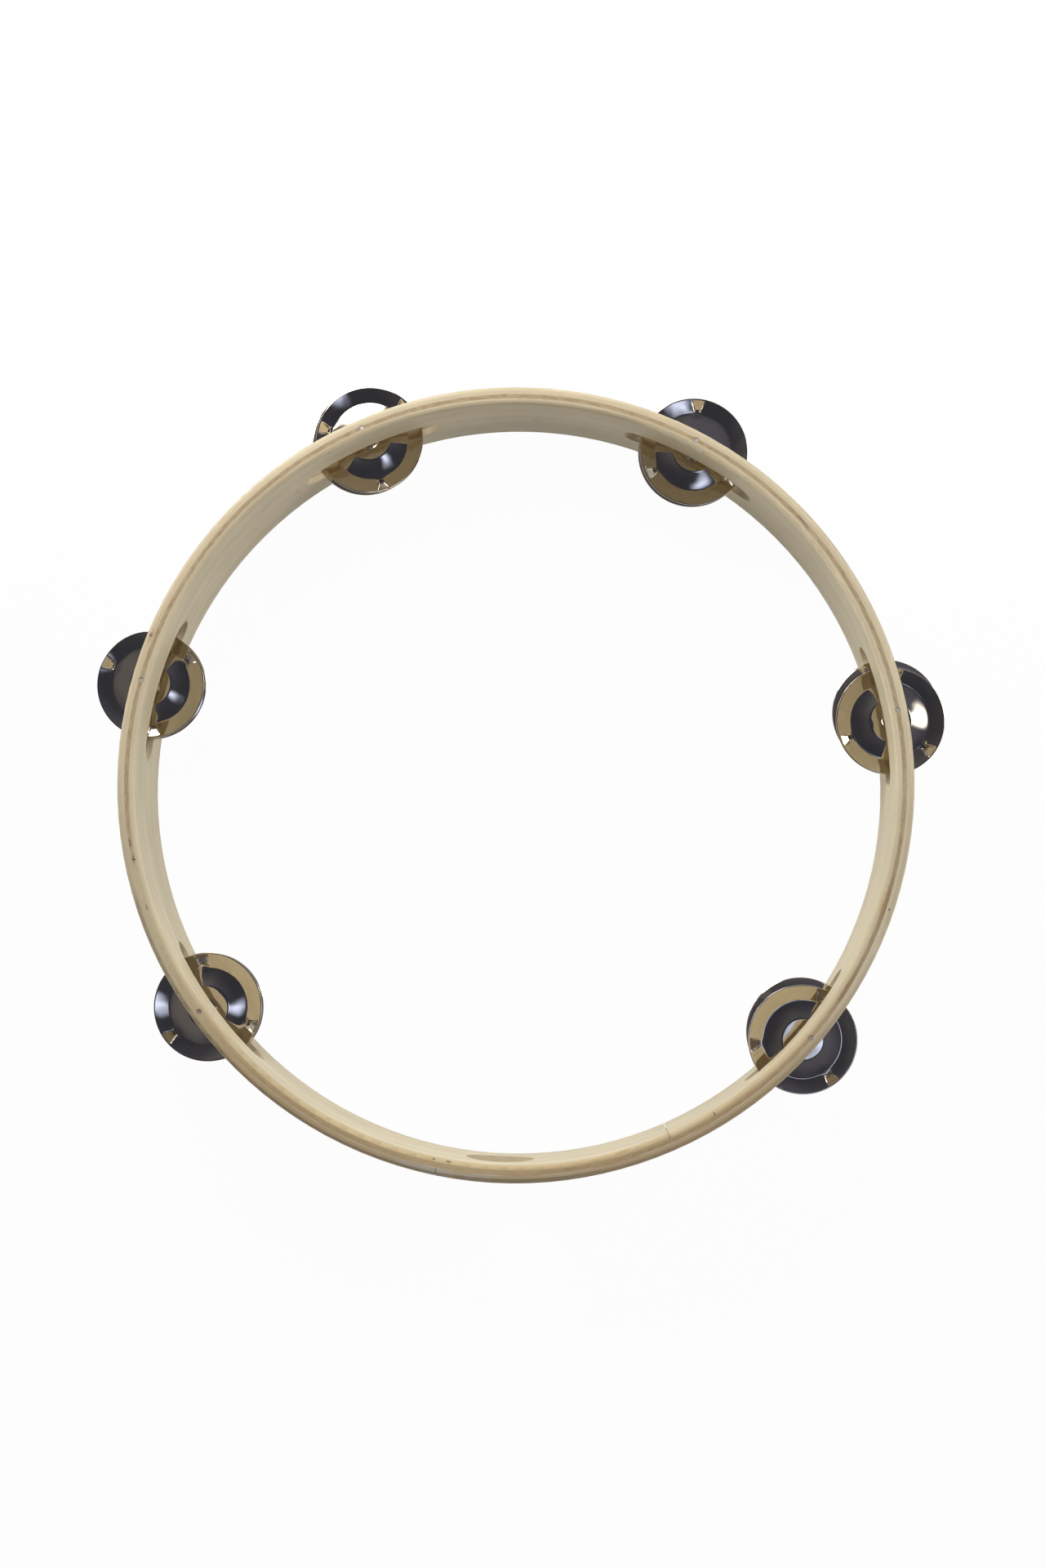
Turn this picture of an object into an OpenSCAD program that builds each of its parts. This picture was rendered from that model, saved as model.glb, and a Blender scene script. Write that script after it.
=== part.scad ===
// Headless wooden tambourine: a three-ply bent hoop with seven equal stations.
// Six stations are slots, each with a pin and two loose jingles. The seventh is the thumb hole.
// The hoop lies flat on its lower rim, centred on the Z axis, with the thumb hole facing -Y.

/* [Hoop] */
// Outside diameter of the hoop
hoop_d = 254; // [200:1:330]
// Depth of the hoop from rim to rim
hoop_w = 45; // [38:0.5:60]
// Thickness of the outer face ply
outer_ply_t = 2.4; // [1.8:0.1:4]
// Thickness of the core ply
core_ply_t = 1.6; // [1:0.1:3]
// Thickness of the inner face ply
inner_ply_t = 1.8; // [1.6:0.1:4]
// Radius of the sanded rim edges
rim_round = 1.5; // [0.5:0.1:1.6]
// Number of equal stations round the hoop, one of them the thumb hole
stations = 7; // [5:1:8]
// Diameter of the thumb hole
thumb_hole_d = 22; // [16:0.5:26]

/* [Ply seams] */
// Width of the glue seam where the two ends of a ply strip meet
seam_w = 0.2; // [0.1:0.05:0.5]
// Bearing of the outer ply's seam, counted from the thumb hole
outer_seam_deg = -9; // [-20:1:-8]
// Bearing of the core ply's seam, counted from the thumb hole
core_seam_deg = -76; // [-80:1:-72]
// Bearing of the inner ply's seam, counted from the thumb hole
inner_seam_deg = 26; // [20:1:32]

/* [Jingle slots] */
// Height of a slot, which is also the diameter of its round ends
slot_h = 12; // [9:0.5:16]
// How much longer the straight floor of a slot is than a jingle
slot_spare = 0.5; // [0.5:0.5:8]

/* [Pins] */
// Diameter of a jingle pin
pin_d = 1.7; // [1.2:0.1:2.5]
// How far the pin is driven into the wood below its slot
pin_bite = 9; // [5:0.5:12]
// Length of the pin's ground point
pin_point = 2.2; // [1:0.1:4]
// How far the pin's blunt end is sunk below the rim
pin_sink = 0.2; // [0.1:0.05:1]

/* [Jingles] */
// Diameter of a jingle
jingle_d = 35.5; // [30:0.5:40]
// Thickness of the jingle sheet
jingle_sheet = 0.5; // [0.3:0.05:0.8]
// Diameter of the loose hole in a jingle
jingle_hole_d = 5; // [4:0.1:6]
// Diameter of the flat raised centre
boss_d = 13.5; // [10:0.5:16]
// Height of the raised centre above the pressed valley
boss_h = 1.5; // [0.8:0.1:2.2]
// Diameter of the pressed valley between the centre and the flange
valley_d = 25.5; // [22:0.5:27]
// Rise of the flange from the valley to its edge
flange_h = 1.3; // [0.6:0.1:2]

/* [Flange dents] */
// Number of dents pressed into the flange of a jingle
dents = 3; // [2:1:4]
// Distance of a dent's narrow end from the valley
dent_inset = 0.8; // [0.4:0.1:1.2]
// Length of a dent towards the edge
dent_len = 3.2; // [2:0.1:4]
// Depth of a dent at its narrow end
dent_depth = 0.4; // [0.2:0.05:0.6]
// Width of a dent at its narrow end
dent_w_in = 1.7; // [1:0.1:2.5]
// Width of a dent at its wide end
dent_w_out = 3.8; // [2.5:0.1:5]

/* [Clearances] */
// Gap left between a resting jingle and the wood of its slot
rest_gap = 0.15; // [0.05:0.05:0.5]
// Gap left between the two jingles of a pair
pair_gap = 0.3; // [0.1:0.05:0.6]
// Least gap between a pin and the hole of its jingle
pin_gap = 0.15; // [0.05:0.05:0.4]

/* [Hidden] */
$fn = 96;
// How far a cut runs past the faces that it goes through
overcut = 1;
hoop_r = hoop_d / 2;
core_r_out = hoop_r - outer_ply_t;
core_r_in = core_r_out - core_ply_t;
bore_r = core_r_in - inner_ply_t;
wall = hoop_r - bore_r;
rim_r = min(rim_round, outer_ply_t, inner_ply_t);
mid_z = hoop_w / 2;
thumb_deg = 270;
station_deg = 360 / stations;
pairs = stations - 1;
slot_straight = jingle_d + slot_spare;
slot_floor_z = mid_z - slot_h / 2;

// Pins stand in the middle of the core ply, driven from the upper rim
pin_circle_r = (core_r_out + core_r_in) / 2;
pin_top_z = hoop_w - pin_sink;
pin_tip_z = slot_floor_z - pin_bite;
pin_tip_d = pin_d / 4;

// Jingle levels: the lower one lies centre down on the slot floor, the upper one centre up on it
boss_r = boss_d / 2;
valley_r = valley_d / 2;
edge_r = jingle_d / 2;
jingle_h = max(boss_h, flange_h) + jingle_sheet;
flange_slope = flange_h / (edge_r - valley_r);
dent_drop = max(0, dent_depth - dent_inset * flange_slope);
lower_valley_z = slot_floor_z + rest_gap + jingle_h;
upper_valley_z = lower_valley_z + 2 * dent_drop + pair_gap;

// Sideways play of a jingle on its pin
play = (jingle_hole_d - pin_d) / 2 - pin_gap;

// How each jingle came to lie: direction of its lean, share of its play, turn of its dents
UPPER_LIE = [[256, 1, 68], [295, 1, 85], [81, 0.7, 87], [68, 0.7, 48], [139, 1, 36], [137, 0.8, 100]];
LOWER_LIE = [[135, 0.8, 15], [105, 0.9, 110], [110, 0.7, 30], [140, 0.9, 95], [139, 0.9, 70], [137, 0.7, 55]];

// Bearing of a station and place of its pin, where station 0 is the thumb hole
function station_angle(k) = thumb_deg + k * station_deg;
function pin_place(k) = pin_circle_r * [cos(station_angle(k)), sin(station_angle(k)), 0];

// Cross-section of the whole hoop with its four sanded corners
module hoop_section() {
    translate([bore_r + rim_r, 0])
        square([wall - 2 * rim_r, hoop_w]);
    translate([bore_r, rim_r])
        square([wall, hoop_w - 2 * rim_r]);
    for (x = [bore_r + rim_r, hoop_r - rim_r], z = [rim_r, hoop_w - rim_r])
        translate([x, z])
            circle(r = rim_r);
}

// Outline of a slot: straight floor and roof, round ends
module slot_outline() {
    square([slot_h, slot_straight], center = true);
    for (side = [-1, 1])
        translate([0, side * slot_straight / 2])
            circle(d = slot_h);
}

// Cuts its outline straight through the wall of the hoop at a station, at mid-depth, from the axis outwards
module cut_through_wall(k) {
    rotate([0, 0, station_angle(k)])
        translate([0, 0, mid_z])
            rotate([0, 90, 0])
                linear_extrude(hoop_r + overcut)
                    children();
}

// Straight wire pin with a ground point at its lower end
module pin_wire(top_z) {
    translate([0, 0, pin_tip_z + pin_point])
        cylinder(d = pin_d, h = top_z - pin_tip_z - pin_point);
    translate([0, 0, pin_tip_z])
        cylinder(d1 = pin_tip_d, d2 = pin_d, h = pin_point);
}

// Everything that is cut through the glued plies: the thumb hole, the slots and the holes of the pins
module hoop_cuts() {
    cut_through_wall(0)
        circle(d = thumb_hole_d);
    for (k = [1 : pairs]) {
        cut_through_wall(k)
            slot_outline();
        translate(pin_place(k))
            pin_wire(hoop_w + overcut);
    }
}

// One ply: a strip bent into a ring, with its ends butted at a seam
module ply(r_in, r_out, seam_deg) {
    difference() {
        rotate_extrude()
            intersection() {
                hoop_section();
                translate([r_in, 0])
                    square([r_out - r_in, hoop_w]);
            }
        hoop_cuts();
        rotate([0, 0, thumb_deg + seam_deg])
            translate([r_in - overcut, -seam_w / 2, -overcut])
                cube([r_out - r_in + 2 * overcut, seam_w, hoop_w + 2 * overcut]);
    }
}

module outer_ply() {
    color([0.85, 0.76, 0.58])
        ply(core_r_out, hoop_r, outer_seam_deg);
}

module core_ply() {
    color([0.72, 0.57, 0.40])
        ply(core_r_in, core_r_out, core_seam_deg);
}

module inner_ply() {
    color([0.84, 0.77, 0.62])
        ply(bore_r, core_r_in, inner_seam_deg);
}

module pin(k) {
    color([0.55, 0.55, 0.53])
        translate(pin_place(k))
            pin_wire(pin_top_z);
}

// Cross-section of a plain jingle, with the underside of its valley at zero height
module jingle_section() {
    hole_r = jingle_hole_d / 2;
    polygon([
        [hole_r, boss_h],
        [boss_r, boss_h],
        [valley_r, 0],
        [edge_r, flange_h],
        [edge_r, flange_h + jingle_sheet],
        [valley_r, jingle_sheet],
        [boss_r, boss_h + jingle_sheet],
        [hole_r, boss_h + jingle_sheet]
    ]);
}

// Cross-section of the space below a jingle's upper face, which a pressed dent fills
module dent_space() {
    polygon([
        [boss_r, -jingle_h],
        [edge_r, -jingle_h],
        [edge_r, flange_h + jingle_sheet],
        [valley_r, jingle_sheet],
        [boss_r, boss_h + jingle_sheet]
    ]);
}

// Fan-shaped punch whose flat nose runs out of the flange at the wide end, grown for the back of the sheet
module dent_punch(grow) {
    nose_deg = atan(flange_slope + dent_depth / dent_len);
    half_in = dent_w_in / 2 + grow;
    half_out = dent_w_out / 2 + grow;
    reach = dent_len + 2 * grow;
    start_z = jingle_sheet + dent_inset * flange_slope - dent_depth;
    translate([valley_r + dent_inset - grow, 0, start_z - grow])
        rotate([0, -nose_deg, 0])
            linear_extrude(2 * jingle_h)
                polygon([[0, -half_in], [reach, -half_out], [reach, half_out], [0, half_in]]);
}

// One jingle, stamped from sheet, with its raised centre upwards
module jingle() {
    difference() {
        union() {
            rotate_extrude()
                jingle_section();
            intersection() {
                rotate_extrude()
                    dent_space();
                for (i = [1 : dents])
                    rotate([0, 0, i * 360 / dents])
                        dent_punch(jingle_sheet);
            }
        }
        for (i = [1 : dents])
            rotate([0, 0, i * 360 / dents])
                dent_punch(0);
    }
}

// A jingle at rest on its pin, leaning, turned and flipped over as it came to lie
module resting_jingle(k, lies, valley_z, flip_deg) {
    lie = lies[(k - 1) % len(lies)];
    lean = play * lie[1];
    translate(pin_place(k) + [lean * cos(lie[0]), lean * sin(lie[0]), valley_z])
        rotate([flip_deg, 0, lie[2]])
            jingle();
}

module lower_jingle(k) {
    color([0.62, 0.64, 0.68])
        resting_jingle(k, LOWER_LIE, lower_valley_z, 180);
}

module upper_jingle(k) {
    color([0.70, 0.72, 0.76])
        resting_jingle(k, UPPER_LIE, upper_valley_z, 0);
}

outer_ply();
core_ply();
inner_ply();
for (k = [1 : pairs]) {
    pin(k);
    lower_jingle(k);
    upper_jingle(k);
}
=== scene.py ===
from math import cos, pi, radians, sin

import bpy
import numpy as np
from mathutils import Matrix, Vector


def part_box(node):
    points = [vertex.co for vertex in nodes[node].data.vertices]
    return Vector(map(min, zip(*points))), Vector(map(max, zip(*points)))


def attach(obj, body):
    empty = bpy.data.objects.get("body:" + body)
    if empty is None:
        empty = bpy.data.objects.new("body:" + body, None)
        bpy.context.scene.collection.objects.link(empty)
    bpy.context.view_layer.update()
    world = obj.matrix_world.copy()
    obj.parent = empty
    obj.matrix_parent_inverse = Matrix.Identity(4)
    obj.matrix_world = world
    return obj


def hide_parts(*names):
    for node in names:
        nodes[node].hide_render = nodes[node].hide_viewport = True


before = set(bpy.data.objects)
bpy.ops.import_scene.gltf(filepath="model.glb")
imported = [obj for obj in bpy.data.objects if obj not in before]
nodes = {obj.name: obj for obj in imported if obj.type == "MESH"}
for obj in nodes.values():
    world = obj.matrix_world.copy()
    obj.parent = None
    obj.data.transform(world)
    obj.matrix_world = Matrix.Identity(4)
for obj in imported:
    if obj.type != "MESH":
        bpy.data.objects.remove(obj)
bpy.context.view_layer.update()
scene = bpy.context.scene

# Inner ply of the hoop
# A strip of pale veneer, bent into a ring with its grain running round the hoop and its ends butted
# at a glued seam. It is the wall that the player's fingers touch, sanded smooth and left almost bare.


def feed(tree, socket, value):
    """Links an output to a socket, or sets the socket to a plain value."""
    if isinstance(value, bpy.types.NodeSocket):
        tree.links.new(value, socket)
    else:
        socket.default_value = value


def node(tree, kind, inputs=None, **settings):
    """Adds a shader node, with its settings and what goes into its sockets."""
    made = tree.nodes.new("ShaderNode" + kind)
    for name, value in settings.items():
        setattr(made, name, value)
    for socket, value in (inputs or {}).items():
        feed(tree, made.inputs[socket], value)
    return made


def sums(tree, operation, *values):
    """Output of a math node."""
    return node(tree, "Math", dict(enumerate(values)), operation=operation).outputs[0]


def vectors(tree, operation, *values):
    """Output of a vector math node: a number for a length, distance or dot product, or else a vector."""
    made = node(tree, "VectorMath", dict(enumerate(values)), operation=operation)
    is_number = operation in ("LENGTH", "DISTANCE", "DOT_PRODUCT")
    return made.outputs["Value" if is_number else "Vector"]


def turned_about_z(tree, place, angle):
    """Output of a place turned about the hoop's axis."""
    return node(tree, "VectorRotate", {"Vector": place, "Angle": angle}, rotation_type="Z_AXIS").outputs[0]


def parts_of(tree, place):
    """The three outputs of a place along X, Y and Z."""
    return node(tree, "SeparateXYZ", {0: place}).outputs


def band(tree, value, low, high, start=0.0, end=1.0):
    """Output that eases from start to end while value goes from low to high."""
    inputs = {0: value, 1: low, 2: high, 3: start, 4: end}
    return node(tree, "MapRange", inputs, interpolation_type="SMOOTHSTEP").outputs[0]


def tint(tree, share, under, over, how="MIX"):
    """Output colour of over laid on under by a share."""
    return node(tree, "Mix", {0: share, 6: under, 7: over}, data_type="RGBA", blend_type=how).outputs[2]


def noise(tree, place, scale, detail=3.0, rough=0.5):
    """Output value of a noise that is stretched by the three numbers of scale."""
    stretched = vectors(tree, "MULTIPLY", place, scale)
    inputs = {"Vector": stretched, "Scale": 1.0, "Detail": detail, "Roughness": rough}
    return node(tree, "TexNoise", inputs).outputs[0]


def new_group(name, takes, gives):
    """An empty node group with its named inputs and outputs."""
    group = bpy.data.node_groups.new(name, "ShaderNodeTree")
    for socket, kind in takes.items():
        group.interface.new_socket(socket, in_out="INPUT", socket_type="NodeSocket" + kind)
    for socket, kind in gives.items():
        group.interface.new_socket(socket, in_out="OUTPUT", socket_type="NodeSocket" + kind)
    return group, group.nodes.new("NodeGroupInput").outputs, group.nodes.new("NodeGroupOutput").inputs


def use_group(tree, group, inputs):
    """The outputs of a group placed in a material."""
    return node(tree, "Group", inputs, node_tree=group).outputs


def new_material(name):
    """A material with its node tree and the sockets of its main shader."""
    material = bpy.data.materials.new(name)
    material.use_nodes = True
    return material, material.node_tree, material.node_tree.nodes["Principled BSDF"].inputs


def dress(piece, material):
    """Gives a piece one material."""
    piece.data.materials.clear()
    piece.data.materials.append(material)


# Place along the bent strip: metres along it from opposite its seam, metres across it, and its radius.
# Its other outputs are the turn from opposite the seam in radians, masks of the cut faces and of the
# rim on the thumb side, where painted shade darkens the rims, and the slight crown of the sanded rims.
mm = 0.001
strip_r, wall_half, strip_half = 0.124, 0.0029, 0.0225
rim_crown = 0.00025
edge_on, face_on = 0.25, 0.85
# How far in from each rim the painted shade on the thumb side reaches, in metres
rim_shade_from, rim_shade_full = 0.0022, 0.0003
thumb_side_y, far_side_y = -0.105, -0.045
strip_place, takes, gives = new_group(
    "strip_place",
    {"Seam": "Float"},
    {"Strip": "Vector", "Turn": "Float", "Cut Face": "Float", "Crown": "Float", "Thumb Side Shade": "Float"},
)
spot = node(strip_place, "TexCoord").outputs["Object"]
from_seam = sums(strip_place, "SUBTRACT", pi, takes["Seam"])
apart = parts_of(strip_place, turned_about_z(strip_place, spot, from_seam))
turn = sums(strip_place, "ARCTAN2", apart[1], apart[0])
flat = vectors(strip_place, "MULTIPLY", spot, (1, 1, 0))
radius = vectors(strip_place, "LENGTH", flat)
along = sums(strip_place, "MULTIPLY", turn, strip_r)
strip = node(strip_place, "CombineXYZ", {0: along, 1: apart[2], 2: radius}).outputs[0]
outwards = vectors(strip_place, "NORMALIZE", flat)
facing = node(strip_place, "NewGeometry").outputs["Normal"]
square_on = sums(strip_place, "ABSOLUTE", vectors(strip_place, "DOT_PRODUCT", outwards, facing))
cut_face = band(strip_place, square_on, edge_on, face_on, 1.0, 0.0)
off_middle = sums(strip_place, "DIVIDE", sums(strip_place, "SUBTRACT", radius, strip_r), wall_half)
crown = sums(strip_place, "MULTIPLY", sums(strip_place, "MULTIPLY", off_middle, off_middle), -rim_crown)
off_half = sums(strip_place, "ABSOLUTE", sums(strip_place, "SUBTRACT", apart[2], strip_half))
# Painted shade: a mask that darkens the rims on the thumb side of the hoop
on_rim = band(strip_place, off_half, strip_half - rim_shade_from, strip_half - rim_shade_full)
on_thumb_side = band(strip_place, parts_of(strip_place, spot)[1], thumb_side_y, far_side_y, 1.0, 0.0)
strip_place.links.new(strip, gives["Strip"])
strip_place.links.new(turn, gives["Turn"])
strip_place.links.new(cut_face, gives["Cut Face"])
strip_place.links.new(crown, gives["Crown"])
strip_place.links.new(sums(strip_place, "MULTIPLY", on_rim, on_thumb_side), gives["Thumb Side Shade"])

# Long-grained veneer: broad bands, thin dark streaks, short pores and fine fibres along the strip
veneer, takes, gives = new_group(
    "veneer_grain",
    {"Strip": "Vector", "Pale": "Color", "Warm": "Color", "Streak": "Color"},
    {"Color": "Color", "Roughness": "Float", "Height": "Float"},
)
broad = noise(veneer, takes["Strip"], (5.0, 150.0, 150.0), 2.0)
streaks = noise(veneer, takes["Strip"], (9.0, 900.0, 900.0), 4.0, 0.6)
fibres = noise(veneer, takes["Strip"], (70.0, 4200.0, 4200.0), 3.0, 0.6)
pores = noise(veneer, takes["Strip"], (260.0, 3000.0, 3000.0), 2.0)
blotches = noise(veneer, takes["Strip"], (30.0, 45.0, 45.0), 3.0)
colour = tint(veneer, band(veneer, broad, 0.35, 0.65), takes["Pale"], takes["Warm"])
colour = tint(veneer, band(veneer, streaks, 0.5, 0.78, 0.0, 0.55), colour, takes["Streak"])
colour = tint(veneer, band(veneer, pores, 0.62, 0.74, 0.0, 0.22), colour, takes["Streak"])
shade = band(veneer, blotches, 0.3, 0.7, 0.95, 1.05)
shade = sums(veneer, "MULTIPLY", shade, band(veneer, fibres, 0.3, 0.7, 0.955, 1.045))
colour = node(veneer, "VectorMath", {0: colour, "Scale": shade}, operation="SCALE").outputs[0]
rough = band(veneer, fibres, 0.3, 0.7, 0.46, 0.58)
rough = sums(veneer, "ADD", rough, band(veneer, streaks, 0.4, 0.8, 0.0, 0.1))
height = sums(veneer, "ADD", sums(veneer, "MULTIPLY", fibres, 0.5), sums(veneer, "MULTIPLY", streaks, 0.5))
pore_mask = band(veneer, pores, 0.62, 0.72)
height = sums(veneer, "SUBTRACT", height, sums(veneer, "MULTIPLY", pore_mask, 0.4))
veneer.links.new(colour, gives["Color"])
veneer.links.new(rough, gives["Roughness"])
veneer.links.new(height, gives["Height"])

# Small dark pits scattered in the sanded wood, and the few larger knots, tears and stains on the rims,
# each at its bearing in degrees and its radius, with its half lengths along and across the strip, in mm
rim_specks = (
    (44.5, 123.9, 3.0, 0.3), (160.4, 125.6, 0.8, 0.7), (191.5, 124.0, 2.4, 0.3), (193.8, 123.7, 1.8, 0.3),
    (260.4, 121.9, 0.6, 0.35), (262.6, 121.9, 1.0, 0.4), (303.4, 122.4, 0.4, 0.9), (343.4, 125.3, 0.7, 0.35),
)
rim_stains = (
    (344.0, 123.4, 9.0, 1.2), (330.0, 123.6, 6.0, 0.8), (288.5, 121.9, 3.0, 0.6), (160.4, 125.4, 3.0, 1.0),
)
pit_spacing = (70.0, 210.0, 210.0)
wood_marks, takes, gives = new_group("wood_marks", {"Strip": "Vector"}, {"Speck": "Float", "Stain": "Float"})
pit_place = vectors(wood_marks, "MULTIPLY", takes["Strip"], pit_spacing)
pit = node(wood_marks, "TexVoronoi", {"Vector": pit_place, "Scale": 1.0}).outputs
few = band(wood_marks, node(wood_marks, "SeparateColor", {0: pit["Color"]}).outputs[0], 0.8, 0.84)
speck = sums(wood_marks, "MULTIPLY", band(wood_marks, pit["Distance"], 0.07, 0.13, 0.7, 0.0), few)
wood_spot = node(wood_marks, "TexCoord").outputs["Object"]
ragged = node(wood_marks, "TexNoise", {"Vector": wood_spot, "Scale": 1500.0, "Detail": 2.0}).outputs[0]


def wood_mark(mask, bearing_deg, radius_mm, along_mm, across_mm):
    """The mask with one more oval mark of ragged edge in it."""
    turned = turned_about_z(wood_marks, wood_spot, -radians(bearing_deg))
    from_mark = vectors(wood_marks, "SUBTRACT", turned, (radius_mm * mm, 0, 0))
    oval = vectors(wood_marks, "MULTIPLY", from_mark, (1 / (across_mm * mm), 1 / (along_mm * mm), 0))
    reach = vectors(wood_marks, "LENGTH", oval)
    reach = sums(wood_marks, "ADD", reach, sums(wood_marks, "SUBTRACT", ragged, 0.5))
    return sums(wood_marks, "MAXIMUM", mask, band(wood_marks, reach, 0.4, 1.1, 1.0, 0.0))


for mark in rim_specks:
    speck = wood_mark(speck, *mark)
stain = 0.0
for mark in rim_stains:
    stain = wood_mark(stain, *mark)
wood_marks.links.new(speck, gives["Speck"])
wood_marks.links.new(stain, gives["Stain"])


def wood_normal(tree, place, grain_height, strength):
    """Normal of a ply with crowned rims and the fine relief of its grain."""
    grain_depth = 0.2 * mm
    crowned = node(tree, "Bump", {"Height": place["Crown"], "Strength": 1.0, "Distance": 1.0}).outputs[0]
    inputs = {"Height": grain_height, "Strength": strength, "Distance": grain_depth, "Normal": crowned}
    return node(tree, "Bump", inputs).outputs[0]


def face_ply_material(name, seam_deg, face, edge, filler):
    """Satin veneer: the paler bent face, the sanded rims and cut slot walls, and filler over its seam."""
    filler_tone = (0.66, 0.62, 0.54, 1)
    # The next colour paints shade on the rims on the thumb side
    thumb_side_shade_tone = (0.87, 0.79, 0.67, 1)
    stain_tone = (0.46, 0.30, 0.13, 1)
    speck_tone = (0.17, 0.11, 0.07, 1)
    filler_from, filler_full = pi - 0.2, pi - 0.07
    material, tree, shader = new_material(name)
    place = use_group(tree, strip_place, {"Seam": radians(seam_deg)})
    skin = use_group(tree, veneer, {"Strip": place["Strip"], **face})
    cut = use_group(tree, veneer, {"Strip": place["Strip"], **edge})
    mark = use_group(tree, wood_marks, {"Strip": place["Strip"]})
    smear = noise(tree, place["Strip"], (160.0, 900.0, 900.0), 3.0)
    near_seam = band(tree, sums(tree, "ABSOLUTE", place["Turn"]), filler_from, filler_full, 0.0, filler)
    filled = sums(tree, "MULTIPLY", near_seam, band(tree, smear, 0.3, 0.6))
    rim = tint(tree, filled, cut["Color"], filler_tone)
    colour = tint(tree, place["Cut Face"], skin["Color"], rim)
    # Painted shade: the rims on the thumb side are tinted darker and browner
    painted_rim_shade = sums(tree, "MULTIPLY", place["Thumb Side Shade"], sums(tree, "SUBTRACT", 1.0, filled))
    colour = tint(tree, painted_rim_shade, colour, thumb_side_shade_tone, "MULTIPLY")
    colour = tint(tree, sums(tree, "MULTIPLY", mark["Stain"], 0.45), colour, stain_tone)
    colour = tint(tree, sums(tree, "MULTIPLY", mark["Speck"], 0.75), colour, speck_tone)
    tree.links.new(colour, shader["Base Color"])
    tree.links.new(skin["Roughness"], shader["Roughness"])
    shader["Specular IOR Level"].default_value = 0.35
    tree.links.new(wood_normal(tree, place, skin["Height"], 0.3), shader["Normal"])
    return material


inner_seam_deg = 296
inner_face = {
    "Pale": (0.79, 0.70, 0.49, 1),
    "Warm": (0.74, 0.645, 0.435, 1),
    "Streak": (0.65, 0.55, 0.35, 1),
}
inner_edge = {
    "Pale": (0.75, 0.64, 0.43, 1),
    "Warm": (0.69, 0.575, 0.36, 1),
    "Streak": (0.55, 0.435, 0.25, 1),
}
inner_filler = 0.0
inner_veneer = face_ply_material("inner_veneer", inner_seam_deg, inner_face, inner_edge, inner_filler)
dress(nodes["inner_ply"], inner_veneer)

# Core ply of the hoop
# A thinner strip of darker veneer glued between the two face plies with its grain across the hoop,
# so that the rims show its open end grain as a brown line. Filler and glue pale it along some stretches.

core_seam_deg = 194
core_r = 0.1238
brown_pale, brown_deep = (0.50, 0.38, 0.225, 1), (0.38, 0.27, 0.145, 1)
filler_pale, filler_deep = (0.71, 0.595, 0.38, 1), (0.65, 0.535, 0.32, 1)
# The next colour paints shade on the core's rims on the thumb side
core_thumb_side_shade_tone = (0.94, 0.855, 0.755, 1)
core_stain_tone = (0.36, 0.22, 0.09, 1)
core_speck_tone = (0.14, 0.09, 0.055, 1)
glue_tone = (0.80, 0.72, 0.56, 1)
glue_from_r, glue_full_r = 0.12425, 0.1245
glue_middle, glue_full, glue_end = 0.28, 0.14, 0.2
core_veneer, tree, shader = new_material("core_veneer")
place = use_group(tree, strip_place, {"Seam": radians(core_seam_deg)})
mark = use_group(tree, wood_marks, {"Strip": place["Strip"]})
end_grain = noise(tree, place["Strip"], (420.0, 60.0, 1500.0), 4.0, 0.6)
clumps = noise(tree, place["Strip"], (55.0, 20.0, 300.0), 3.0)
# How bare of filler the end grain is at shares of the way round the core, from its seam to its seam
bare_shares = (
    (0.0, 0.3), (0.01, 0.0), (0.075, 0.05), (0.1, 0.4), (0.16, 0.35), (0.178, 0.0), (0.21, 0.0),
    (0.235, 0.5), (0.36, 0.6), (0.38, 1.0), (0.436, 1.0), (0.46, 0.85), (0.97, 0.95), (1.0, 0.5),
)
along_core = sums(tree, "MULTIPLY_ADD", place["Turn"], 0.5 / pi, 0.5)
bare = node(tree, "ValToRGB", {0: along_core})
for position, _ in bare_shares[1:-1]:
    bare.color_ramp.elements.new(position)
for element, (position, share) in zip(bare.color_ramp.elements, bare_shares):
    element.position = position
    element.color = (share, share, share, 1)
shown = sums(tree, "MULTIPLY", bare.outputs[0], band(tree, clumps, 0.25, 0.55, 0.6, 1.0))
radius = parts_of(tree, place["Strip"])[2]
off_middle = sums(tree, "ABSOLUTE", sums(tree, "SUBTRACT", radius, core_r))
shown = sums(tree, "MULTIPLY", shown, band(tree, off_middle, 0.4 * mm, 0.8 * mm, 1.0, 0.3))
brown = tint(tree, band(tree, end_grain, 0.35, 0.7), brown_pale, brown_deep)
filled = tint(tree, band(tree, end_grain, 0.3, 0.7), filler_pale, filler_deep)
colour = tint(tree, shown, filled, brown)
# Painted shade: the core's rims on the thumb side are tinted darker
colour = tint(tree, place["Thumb Side Shade"], colour, core_thumb_side_shade_tone, "MULTIPLY")
colour = tint(tree, sums(tree, "MULTIPLY", mark["Stain"], 0.5), colour, core_stain_tone)
colour = tint(tree, sums(tree, "MULTIPLY", mark["Speck"], 0.75), colour, core_speck_tone)
glue = sums(tree, "MULTIPLY", band(tree, radius, glue_from_r, glue_full_r), band(tree, clumps, 0.35, 0.55))
off_glue = sums(tree, "ABSOLUTE", sums(tree, "SUBTRACT", along_core, glue_middle))
glue = sums(tree, "MULTIPLY", glue, band(tree, off_glue, glue_full, glue_end, 0.9, 0.0))
colour = tint(tree, glue, colour, glue_tone)
tree.links.new(colour, shader["Base Color"])
tree.links.new(band(tree, end_grain, 0.3, 0.7, 0.6, 0.75), shader["Roughness"])
shader["Specular IOR Level"].default_value = 0.25
tree.links.new(wood_normal(tree, place, end_grain, 0.4), shader["Normal"])
dress(nodes["core_ply"], core_veneer)

# Outer ply of the hoop
# The thickest strip of veneer, wrapped round the other two and butted close to the thumb hole. Both
# of its rim edges are sanded round after the glue has set, and the slots are routed through all three.

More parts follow.
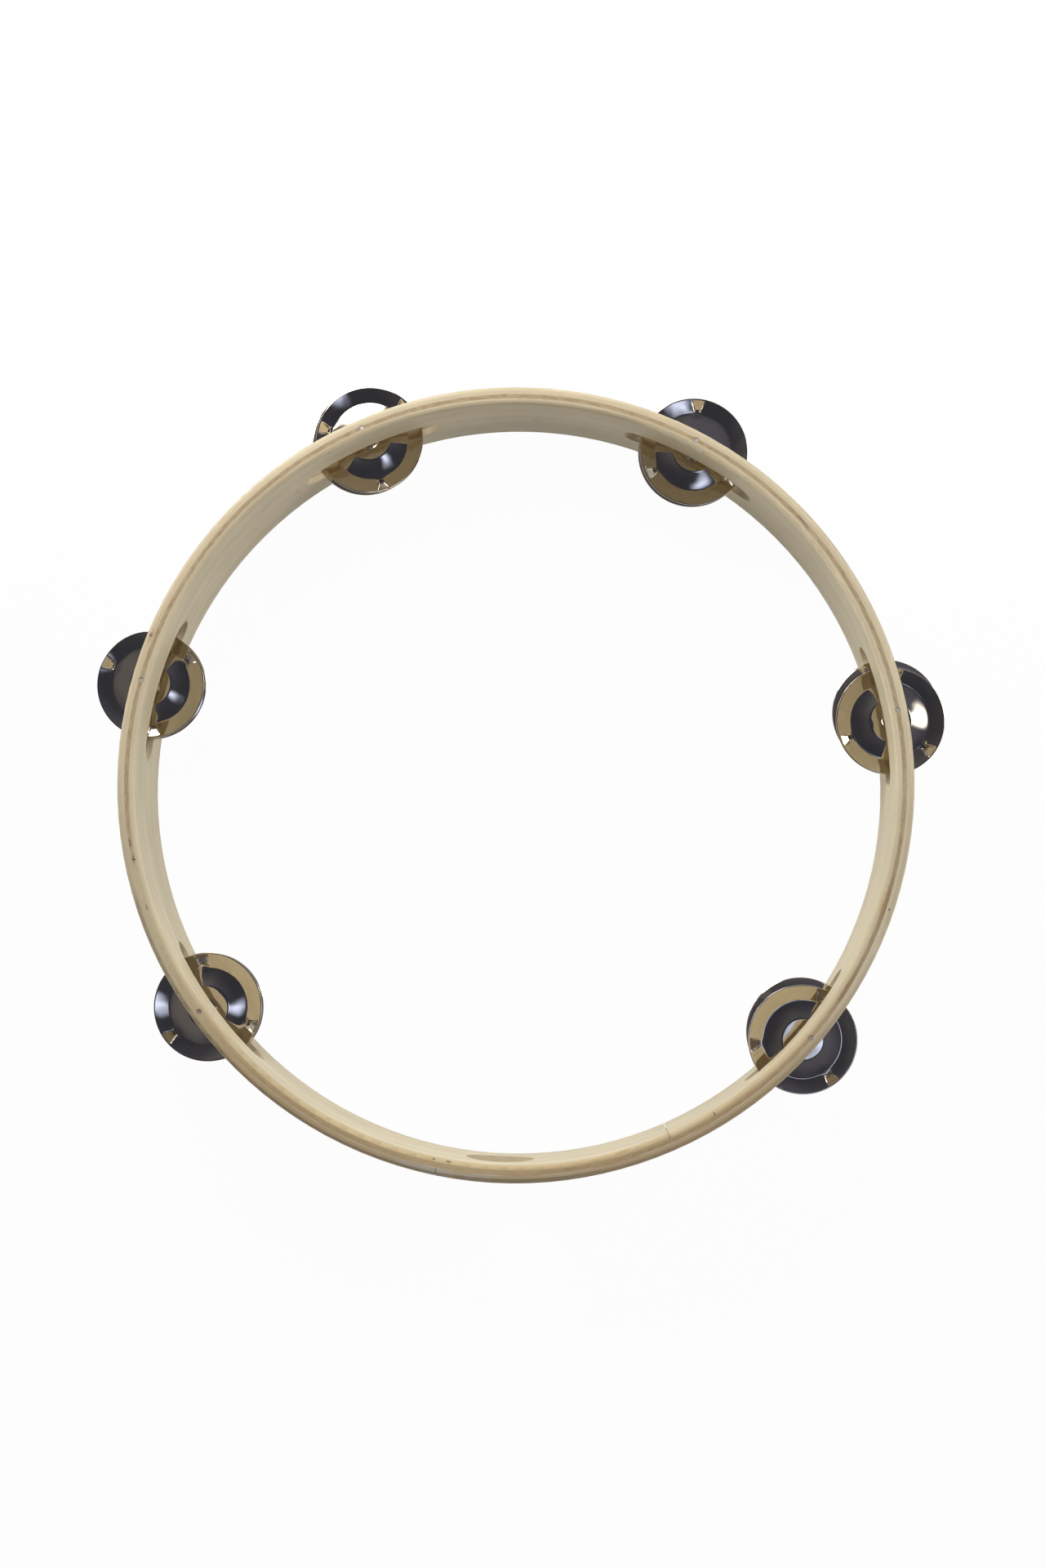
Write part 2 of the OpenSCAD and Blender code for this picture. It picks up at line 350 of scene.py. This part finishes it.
outer_seam_deg = 261
outer_face = {
    "Pale": (0.76, 0.67, 0.46, 1),
    "Warm": (0.70, 0.60, 0.39, 1),
    "Streak": (0.54, 0.43, 0.26, 1),
}
outer_edge = {
    "Pale": (0.75, 0.65, 0.45, 1),
    "Warm": (0.69, 0.58, 0.375, 1),
    "Streak": (0.54, 0.425, 0.245, 1),
}
outer_filler = 0.7
outer_veneer = face_ply_material("outer_veneer", outer_seam_deg, outer_face, outer_edge, outer_filler)
dress(nodes["outer_ply"], outer_veneer)

# Jingle pins
# Plain steel wire, cut to length with one ground point, and driven from the upper rim through each
# slot into the wood below. Only its cut end shows on the rim, and its shank above the jingles.

steel_pale, steel_dull = (0.74, 0.72, 0.67, 1), (0.55, 0.52, 0.46, 1)
burr_tone = (0.56, 0.47, 0.34, 1)
burr_low, burr_high = 0.98, 0.99
burr_in, burr_out = 0.26, 0.42
draw_depth = 0.05 * mm
wire, tree, shader = new_material("cut_steel_wire")
coords = node(tree, "TexCoord").outputs
drawn = noise(tree, coords["Object"], (9000.0, 9000.0, 250.0), 3.0)
tarnish = noise(tree, coords["Object"], (900.0, 900.0, 900.0), 3.0)
flat = vectors(tree, "MULTIPLY", coords["Generated"], (1, 1, 0))
off_axis = vectors(tree, "DISTANCE", flat, (0.5, 0.5, 0))
at_end = band(tree, parts_of(tree, coords["Generated"])[2], burr_low, burr_high)
burred = sums(tree, "MULTIPLY", at_end, band(tree, off_axis, burr_in, burr_out))
steel = tint(tree, band(tree, tarnish, 0.4, 0.7), steel_pale, steel_dull)
steel = tint(tree, burred, steel, burr_tone)
tree.links.new(steel, shader["Base Color"])
rough = sums(tree, "ADD", band(tree, drawn, 0.3, 0.7, 0.42, 0.6), sums(tree, "MULTIPLY", burred, 0.3))
tree.links.new(rough, shader["Roughness"])
shader["Metallic"].default_value = 1.0
bump = node(tree, "Bump", {"Height": drawn, "Strength": 0.3, "Distance": draw_depth})
tree.links.new(bump.outputs[0], shader["Normal"])
pairs = sum(name.startswith("pin_") for name in nodes)
for k in range(1, pairs + 1):
    dress(nodes[f"pin_{k}"], wire)

# Lower jingles
# Discs stamped from thin sheet and nickel plated: a flat raised centre with a loose hole, a pressed
# valley, and a flange turned up again to the edge, with three fan-shaped dents. They are threaded on
# the pins centre down, and their dents are shallower than those of the upper ones.

edge_r, valley_r, boss_r, hole_r = 17.745, 12.75, 6.75, 2.5
sheet, boss_rise, flange_rise = 0.5, 1.5, 1.3
centre_sag, flange_sag, crease, edge_round = 0.12, 0.05, 1.2, 0.12
dents, dent_start, dent_reach = 3, 13.8, 3.4
dent_half_in, dent_half_out = 0.8, 2.2
dent_depth, dent_lip = 1.15, 0.45
back_depth, back_lip = 0.8, 0.9
crease_pull, pull_across, pull_along = 0.6, 1.6, 1.0


def upper_face(radii):
    """Height of a jingle's upper face above the underside of its valley, without dents."""
    fine = np.linspace(hole_r - crease, edge_r + crease, 3000)
    step = fine[1] - fine[0]
    fall = -boss_rise / (valley_r - boss_r)
    bend = 4 * centre_sag / (valley_r - boss_r)
    climb = flange_rise / (edge_r - valley_r)
    curl = 4 * flange_sag / (edge_r - valley_r)
    bowl = np.interp(fine, [boss_r, valley_r], [fall - bend, fall + bend])
    flange = np.interp(fine, [valley_r, edge_r], [climb - curl, climb + curl])
    slope = np.where(fine < boss_r, 0.0, np.where(fine < valley_r, bowl, flange))
    window = np.hanning(int(crease / step))
    slope = np.convolve(slope, window / window.sum(), "same")
    heights = np.cumsum(slope) * step
    start = boss_rise + sheet - np.interp(hole_r + crease, fine, heights)
    return np.interp(radii, fine, heights) + start


def beside_dent(radii, angles):
    """Distance of a point from the middle line of the nearest dent."""
    nearest = (angles + pi / dents) % (2 * pi / dents) - pi / dents
    return np.abs(radii * np.sin(nearest))


def dent(radii, aside, depth, lip):
    """Depth of the fan-shaped dents, deepest at their narrow end next to the valley."""
    reach = (radii - dent_start) / dent_reach
    half = dent_half_in + (dent_half_out - dent_half_in) * np.clip(reach, 0, 1)
    sides = np.clip((half - aside) / lip + 0.5, 0, 1)
    mouth = np.clip((radii - dent_start) / lip + 0.5, 0, 1)
    ease = sides * sides * (3 - 2 * sides) * mouth * mouth * (3 - 2 * mouth)
    return depth * np.clip(1 - reach, 0, 1) * ease


def jingle_mesh(name, press):
    """One stamped disc at the origin, centre up, with its dents pressed to a share of full depth."""
    # Points round the disc, closer across the dents
    sector = 2 * pi / dents
    dent_turn = radians(11)
    near = np.linspace(-dent_turn, dent_turn, 33)
    far = np.linspace(dent_turn, sector - dent_turn, 25)[1:-1]
    angles = np.concatenate([np.concatenate([near, far]) + i * sector for i in range(dents)])
    # Rings of points from the hole to the edge, closer at the two bends
    stretches = (
        (hole_r + edge_round, boss_r - 0.7, 5),
        (boss_r - 0.45, boss_r + 0.45, 7),
        (boss_r + 0.7, valley_r - 0.9, 8),
        (valley_r - 0.75, valley_r + 1.45, 23),
        (valley_r + 1.65, edge_r - edge_round, 10),
    )
    rings = np.concatenate([np.linspace(*stretch) for stretch in stretches])
    top = upper_face(rings)
    lip = sheet / 2
    turns = np.radians([45, 0, -45])
    rim = [(edge_r - edge_round + edge_round * cos(t), top[-1] - lip + lip * sin(t)) for t in turns]
    bore = [(hole_r + edge_round - edge_round * cos(t), top[0] - lip - lip * sin(t)) for t in turns]
    outline = list(zip(rings, top)) + rim + list(zip(rings[::-1], top[::-1] - sheet)) + bore
    # The outline swept round, drawn out a little at the dents and pressed in
    r = np.array([p[0] for p in outline])[:, None]
    aside = beside_dent(r, angles[None, :])
    r = r + crease_pull * np.exp(-((aside / pull_across) ** 2) - ((r - valley_r) / pull_along) ** 2)
    z = np.array([p[1] for p in outline])[:, None]
    pressed = dent(r, aside, dent_depth, dent_lip)
    bulged = dent(r, aside, back_depth, back_lip)
    z = z - press * np.where(np.arange(len(outline))[:, None] < len(rings), pressed, bulged)
    points = np.stack([r * np.cos(angles), r * np.sin(angles), z], -1).reshape(-1, 3) * mm
    across, around = len(outline), len(angles)
    faces = []
    for i in range(across):
        j = (i + 1) % across
        for a in range(around):
            b = (a + 1) % around
            faces.append((i * around + a, j * around + a, j * around + b, i * around + b))
    mesh = bpy.data.meshes.new(name)
    mesh.from_pydata(points.tolist(), [], faces)
    mesh.polygons.foreach_set("use_smooth", [True] * len(faces))
    mesh.update()
    return mesh


# Bright plate: faint hairlines, handling smudges, a little dullness where the sheet was pressed at the
# valley, and the slight waves of thin sheet
nickel_pale, nickel_warm = (0.63, 0.565, 0.46, 1), (0.58, 0.52, 0.42, 1)
hairline_tone = (0.48, 0.44, 0.37, 1)
hairline_turn = 0.6
wave_depth = 0.4 * mm
plate, tree, shader = new_material("bright_nickel_plate")
own = node(tree, "TexCoord").outputs["Object"]
spot = vectors(tree, "ADD", own, node(tree, "ObjectInfo").outputs["Location"])
radius = vectors(tree, "LENGTH", vectors(tree, "MULTIPLY", own, (1, 1, 0)))
off_crease = sums(tree, "ABSOLUTE", sums(tree, "SUBTRACT", radius, valley_r * mm))
pressed = band(tree, off_crease, 0.1 * mm, 0.4 * mm, 1.0, 0.0)
smudge = noise(tree, spot, (160.0, 160.0, 160.0), 4.0, 0.55)
cloud = noise(tree, spot, (45.0, 45.0, 45.0), 2.0)
hairs = noise(tree, turned_about_z(tree, spot, hairline_turn), (150.0, 9000.0, 150.0), 2.0)
hair_mask = band(tree, hairs, 0.66, 0.74)
nickel = tint(tree, band(tree, cloud, 0.35, 0.7), nickel_pale, nickel_warm)
nickel = tint(tree, sums(tree, "MULTIPLY", hair_mask, 0.25), nickel, hairline_tone)
tree.links.new(nickel, shader["Base Color"])
dull = sums(tree, "ADD", band(tree, smudge, 0.4, 0.75, 0.03, 0.1), sums(tree, "MULTIPLY", hair_mask, 0.08))
dull = sums(tree, "ADD", dull, sums(tree, "MULTIPLY", pressed, 0.12))
tree.links.new(dull, shader["Roughness"])
shader["Metallic"].default_value = 1.0
waves = noise(tree, spot, (120.0, 120.0, 120.0), 1.0)
bump = node(tree, "Bump", {"Height": waves, "Strength": 0.5, "Distance": wave_depth})
tree.links.new(bump.outputs[0], shader["Normal"])


def lay_jingle(name, turn_deg, flip_deg, press):
    """A jingle in the place of its node, turned as it came to lie."""
    low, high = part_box(name)
    thick = (boss_rise + sheet) * mm
    valley_z = low.z + thick if flip_deg else high.z - thick
    middle = (low + high) / 2
    mesh = jingle_mesh(name + "_plated", press)
    mesh.transform(Matrix.Rotation(radians(turn_deg), 4, "Z") @ Matrix.Rotation(radians(flip_deg), 4, "X"))
    jingle = bpy.data.objects.new(name + "_plated", mesh)
    jingle.location = (middle.x, middle.y, valley_z)
    scene.collection.objects.link(jingle)
    dress(jingle, plate)
    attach(jingle, name)
    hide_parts(name)


lower_turns_deg = (15, 110, 30, 95, 70, 55)
lower_flip_deg = 180
lower_press = 0.4
for k in range(1, pairs + 1):
    lay_jingle(f"lower_jingle_{k}", lower_turns_deg[k - 1], lower_flip_deg, lower_press)

# Upper jingles
# The same stamped and plated discs, threaded on the pins centre up, so that each pair meets at its
# valleys and rattles. They are loose on the pin, and each lies turned its own way.

upper_turns_deg = (68, 85, 87, 48, 36, 100)
upper_flip_deg = 0
upper_press = 1.0
for k in range(1, pairs + 1):
    lay_jingle(f"upper_jingle_{k}", upper_turns_deg[k - 1], upper_flip_deg, upper_press)

# Floor
# A plain white sheet that the tambourine lies on. It is white to the camera and in the bright plate,
# and keeps a soft shadow under the hoop.

floor_half = 6.0
floor_drop = 0.2 * mm
paper_tone = (0.45, 0.45, 0.45, 1)
white_strength, white_share = 1.04, 0.93
floor_mesh = bpy.data.meshes.new("white_sheet")
corners = [(-floor_half, -floor_half, 0), (floor_half, -floor_half, 0)]
corners += [(floor_half, floor_half, 0), (-floor_half, floor_half, 0)]
floor_mesh.from_pydata(corners, [], [(0, 1, 2, 3)])
floor = bpy.data.objects.new("white_sheet", floor_mesh)
floor.location.z = -floor_drop
scene.collection.objects.link(floor)
white_paper, tree, shader = new_material("white_paper")
shader["Base Color"].default_value = paper_tone
shader["Roughness"].default_value = 0.9
shader["Specular IOR Level"].default_value = 0.0
path = node(tree, "LightPath").outputs
seen = sums(tree, "MAXIMUM", path["Is Camera Ray"], path["Is Glossy Ray"])
seen = sums(tree, "MAXIMUM", seen, path["Is Transmission Ray"])
glow = node(tree, "Emission", {"Color": (1, 1, 1, 1), "Strength": white_strength}).outputs[0]
paper = tree.nodes["Principled BSDF"].outputs[0]
mixed = node(tree, "MixShader", {0: sums(tree, "MULTIPLY", seen, white_share), 1: paper, 2: glow})
tree.links.new(mixed.outputs[0], tree.nodes["Material Output"].inputs["Surface"])
dress(floor, white_paper)

# Studio light
# Two soft boxes stand close behind the hoop, to its left and its right, and three larger ones farther
# off at a low angle. A small one overhead gives the cool glints in the plate. The room has pale walls,
# browner on the thumb side, and is dark overhead.


def soft_box(name, place, size, colour, strength, full_share, fall):
    """An oval lamp aimed at the hoop, evenly bright out to a share of its face and fading to its edge."""
    data = bpy.data.lights.new(name, "AREA")
    data.shape = "ELLIPSE"
    data.size, data.size_y = size
    data.color = colour
    data.energy = strength * pi * size[0] * size[1] * pi / 4
    data.use_nodes = True
    tree = data.node_tree
    face = node(tree, "NewGeometry").outputs["Parametric"]
    off_middle = vectors(tree, "DISTANCE", face, (0.5, 0.5, 0))
    fade = band(tree, off_middle, full_share / 2, 0.5, 1.0, 0.0)
    tree.links.new(sums(tree, "POWER", fade, fall), tree.nodes["Emission"].inputs["Strength"])
    lamp = bpy.data.objects.new(name, data)
    lamp.location = place
    lamp.rotation_euler = (-Vector(place)).to_track_quat("-Z", "Y").to_euler()
    lamp.visible_camera = False
    scene.collection.objects.link(lamp)


lamp_white = (1, 0.995, 0.985)
lamp_cool = (0.55, 0.65, 1)
soft_box("left_box", (-0.145, 0.33, 0.34), (0.27, 0.22), lamp_white, 10.0, 0.6, 1.0)
soft_box("right_box", (0.36, 0.10, 0.34), (0.26, 0.22), lamp_white, 18.0, 0.0, 3.0)
soft_box("low_left_box", (-1.0, 0.55, 0.45), (0.5, 0.5), lamp_white, 8.5, 0.4, 1.0)
soft_box("far_box", (-0.43, 1.2, 0.45), (0.6, 0.5), lamp_white, 5.5, 0.5, 1.0)
soft_box("low_right_box", (1.1, 0.45, 0.5), (0.5, 0.5), lamp_white, 10.0, 0.4, 1.0)
soft_box("top_box", (0.22, -0.11, 0.82), (0.26, 0.42), lamp_cool, 2.2, 0.0, 1.3)

thumb_side_walls, other_walls = (0.56, 0.49, 0.39, 1), (1.0, 0.98, 0.95, 1)
upper_left, upper_right = (0.155, 0.15, 0.165, 1), (0.12, 0.125, 0.18, 1)
ceiling = (0.046, 0.049, 0.070, 1)
world = bpy.data.worlds.new("studio")
scene.world = world
world.use_nodes = True
tree = world.node_tree
aim = parts_of(tree, node(tree, "TexCoord").outputs["Generated"])
walls = tint(tree, band(tree, aim[1], -0.65, -0.1), thumb_side_walls, other_walls)
upper = tint(tree, band(tree, aim[0], -0.45, 0.3), upper_left, upper_right)
room = tint(tree, band(tree, aim[2], 0.25, 0.45), walls, upper)
room = tint(tree, band(tree, aim[2], 0.78, 0.96), room, ceiling)
tree.links.new(room, tree.nodes["Background"].inputs["Color"])
scene.view_settings.view_transform = "Standard"

# Camera
# Above the hoop and a little towards the thumb hole, where the photograph was taken from.

image_h_px = 1920
focal_px = 3046
camera_place = (0.02412, -0.04947, 0.83359)
camera_turns_deg = (3.59, 1.41, 2.31)
camera_data = bpy.data.cameras.new("photo_camera")
camera_data.sensor_fit = "VERTICAL"
camera_data.sensor_height = 36
camera_data.lens = focal_px / image_h_px * camera_data.sensor_height
camera = bpy.data.objects.new("photo_camera", camera_data)
camera.rotation_mode = "YXZ"
camera.rotation_euler = [radians(turn_deg) for turn_deg in camera_turns_deg]
camera.location = camera_place
scene.collection.objects.link(camera)
scene.camera = camera
